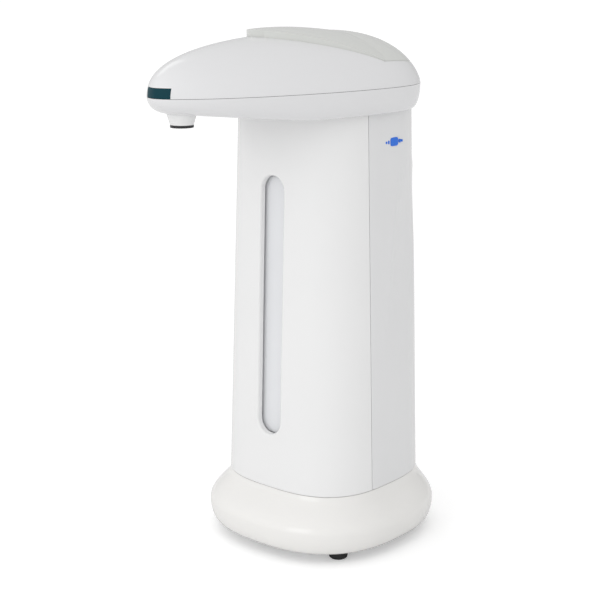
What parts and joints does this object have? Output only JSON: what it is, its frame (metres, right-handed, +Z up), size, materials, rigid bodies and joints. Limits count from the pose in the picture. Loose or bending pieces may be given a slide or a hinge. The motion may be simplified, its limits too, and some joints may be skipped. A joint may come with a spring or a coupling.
{
  "type": "automatic soap dispenser",
  "caption": "Free-standing touchless liquid soap dispenser: battery base, column with a level window, and a beaked head with sensor, nozzle and hinged filler lid.",
  "frame": {"origin": "centre of the bounding box in plan, on the surface the dispenser stands on", "axes": "+Z up, -Y out of the front where the nozzle points, +X to the right hand side seen from the back"},
  "size_m": [0.08, 0.123, 0.1904],
  "materials": {
    "ivory_shell": "gloss",
    "white_shell": "gloss",
    "warm_shell": "gloss",
    "cool_shell": "gloss",
    "head_shell": "gloss",
    "lid_shell": "gloss",
    "tray": "satin",
    "black_rubber": "matte",
    "steel": "satin",
    "brass": "satin",
    "cell_sleeve": "gloss",
    "natural_nylon": "satin",
    "blue_mark": "gloss",
    "button": "gloss",
    "black_plastic": "satin",
    "circuit_board": "satin",
    "clear_tank": "gloss",
    "silicone": "matte",
    "dark_teal_window": "gloss",
    "light_lens": "gloss",
    "red_wire": "satin"
  },
  "bodies": {
    "housing": {"base_skirt": "ivory_shell", "base_plate": "white_shell", "battery_cells": "cell_sleeve", "battery_contacts": "steel", "rubber_feet": "black_rubber", "base_screws": "steel", "chassis_deck": "natural_nylon", "front_shell": "warm_shell", "rear_shell": "cool_shell", "rear_screws": "steel", "side_badge": "blue_mark", "power_switch": "black_plastic", "control_board": "circuit_board", "board_components": "black_plastic", "soap_tank": "clear_tank", "filler_gasket": "silicone", "suction_sleeve": "silicone", "pump_body": "natural_nylon", "pump_cover": "natural_nylon", "pump_screws": "steel", "shaft_seal": "black_rubber", "idler_pin": "steel", "gear_bracket": "natural_nylon", "motor_can": "steel", "motor_end_cap": "natural_nylon", "outlet_tube": "silicone", "nozzle_tip": "black_plastic", "nozzle_valve": "silicone", "nozzle_housing": "white_shell", "head_lower_shell": "head_shell", "head_upper_shell": "head_shell", "filler_tray": "tray", "head_screws": "steel", "sensor_window": "dark_teal_window", "sensor_board": "circuit_board", "infrared_pair": "black_plastic", "status_light": "light_lens", "sensor_wires": "black_plastic", "power_wires": "red_wire", "lid_hinge_pin": "steel"},
    "lid": {"filler_lid": "lid_shell", "lid_plug": "tray", "lid_seal": "silicone"},
    "power_button": {"power_button": "button"},
    "battery_door": {"battery_door": "white_shell"},
    "pump_drive": {"drive_shaft": "steel", "reduction_gear": "natural_nylon", "pump_drive_gear": "natural_nylon"},
    "motor_rotor": {"motor_shaft": "steel", "motor_pinion": "brass"},
    "pump_idler": {"pump_idler_gear": "natural_nylon"}
  },
  "joints": [
    {"name": "lid_hinge", "type": "hinge", "parent": "housing", "child": "lid", "pos_m": [0, 0.049, 0.17856], "axis": [-1, 0, 0], "range_deg": [0, 75]},
    {"name": "power_button_press", "type": "slide", "parent": "housing", "child": "power_button", "axis": [0, -1, 0], "range_m": [0, 0.0012], "stiffness_N_per_m": 400},
    {"name": "battery_door_hinge", "type": "hinge", "parent": "housing", "child": "battery_door", "pos_m": [0, 0.04225, 0.0064], "axis": [1, 0, 0], "range_deg": [0, 75]},
    {"name": "pump_drive_spin", "type": "hinge", "parent": "housing", "child": "pump_drive", "pos_m": [0, 0.0195, 0.0338], "axis": [1, 0, 0], "continuous": true},
    {"name": "motor_spin", "type": "hinge", "parent": "housing", "child": "motor_rotor", "pos_m": [0, 0.0285, 0.0338], "axis": [1, 0, 0], "continuous": true},
    {"name": "pump_idler_spin", "type": "hinge", "parent": "housing", "child": "pump_idler", "pos_m": [0, 0.0111, 0.0338], "axis": [1, 0, 0], "continuous": true}
  ],
  "couplings": [
    {"joint": "motor_spin", "follows": "pump_drive_spin", "ratio": -2.6},
    {"joint": "pump_idler_spin", "follows": "pump_drive_spin", "ratio": -1}
  ]
}
